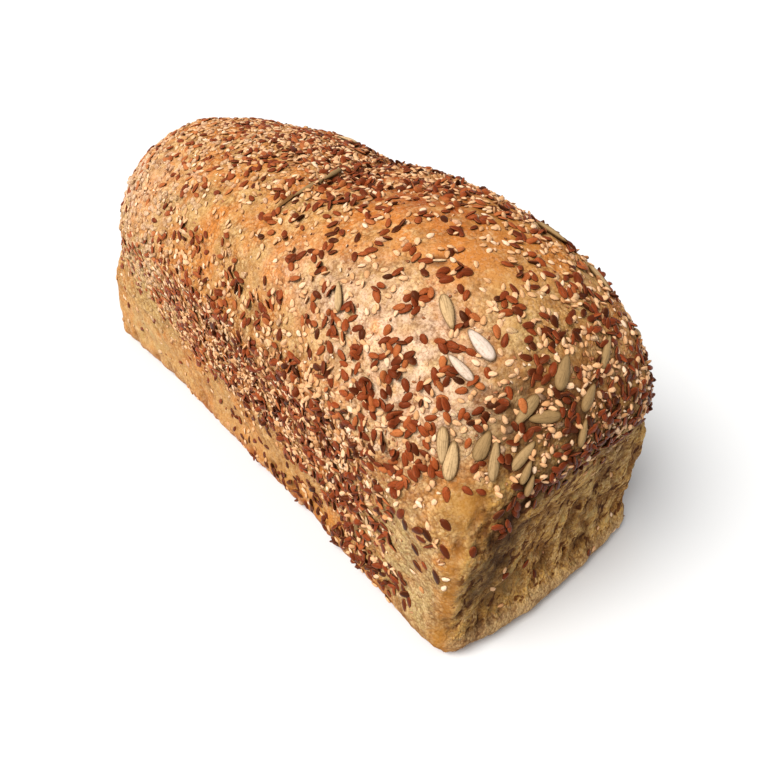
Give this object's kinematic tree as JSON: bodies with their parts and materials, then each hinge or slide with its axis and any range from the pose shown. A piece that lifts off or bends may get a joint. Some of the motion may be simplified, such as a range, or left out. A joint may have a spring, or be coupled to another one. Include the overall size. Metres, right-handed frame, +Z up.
{
  "type": "seeded sandwich loaf",
  "caption": "Whole tin-baked bread loaf with a domed, creased top and straight sides, its crust covered with linseed, sesame and sunflower kernels.",
  "frame": {"origin": "on the flat base, under the middle of the loaf's width and near the middle of its length", "axes": "+X along the loaf to the end shown in the picture, +Y across to the side away from the viewer, +Z up"},
  "size_m": [0.27, 0.1202, 0.1255],
  "materials": {
    "crust": "baked bread crust, matt, golden brown with a paler floury ridge and browner crest",
    "linseed": "smooth reddish-brown seed coat with a slight gloss",
    "sesame": "toasted cream seed, satin",
    "sunflower_kernel": "toasted grey-beige kernel, matt"
  },
  "bodies": {
    "root": {"loaf": "crust"}
  },
  "joints": []
}
